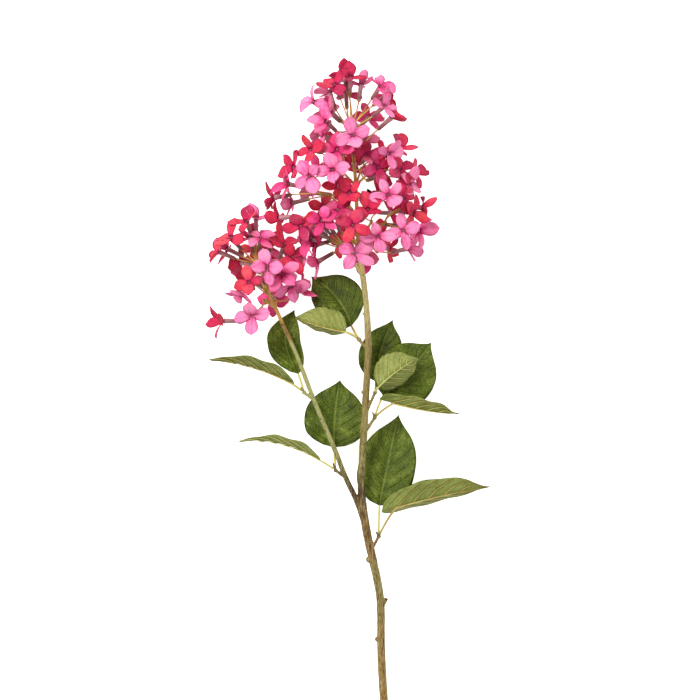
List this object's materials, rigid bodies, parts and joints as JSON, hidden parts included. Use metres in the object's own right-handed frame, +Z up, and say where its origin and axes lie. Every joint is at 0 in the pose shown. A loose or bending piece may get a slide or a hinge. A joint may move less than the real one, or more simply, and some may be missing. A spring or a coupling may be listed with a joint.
{
  "type": "lilac stem",
  "caption": "Cut stem of lilac lying on its side: a forked woody stem with paired heart-shaped leaves and cone-shaped clusters of small four-petalled pink and red flowers on slender tubes",
  "frame": {"origin": "on the surface that the stem lies on, under the middle of its bounding box", "axes": "+Y runs from the cut end of the stem to the top of the main flower head, which is the longest extent; +Z is up, away from the surface, toward a viewer who looks down on the stem; +X is to that viewer's right, and the side flower head is at -X"},
  "size_m": [0.2831, 0.7092, 0.1243],
  "materials": {
    "stem_bark": "moulded bark, painted brown below and olive above",
    "leaf_cloth": "printed green cloth with moulded ribs",
    "petal_cloth": "dyed pink and red cloth petals"
  },
  "bodies": {
    "root": {"stem": "stem_bark", "leaf_01": "leaf_cloth", "leaf_02": "leaf_cloth", "leaf_03": "leaf_cloth", "leaf_04": "leaf_cloth", "leaf_05": "leaf_cloth", "leaf_06": "leaf_cloth", "leaf_07": "leaf_cloth", "leaf_08": "leaf_cloth", "leaf_09": "leaf_cloth", "leaf_10": "leaf_cloth", "leaf_11": "leaf_cloth", "leaf_12": "leaf_cloth", "main_flower_head": "petal_cloth", "side_flower_head": "petal_cloth"}
  },
  "joints": []
}
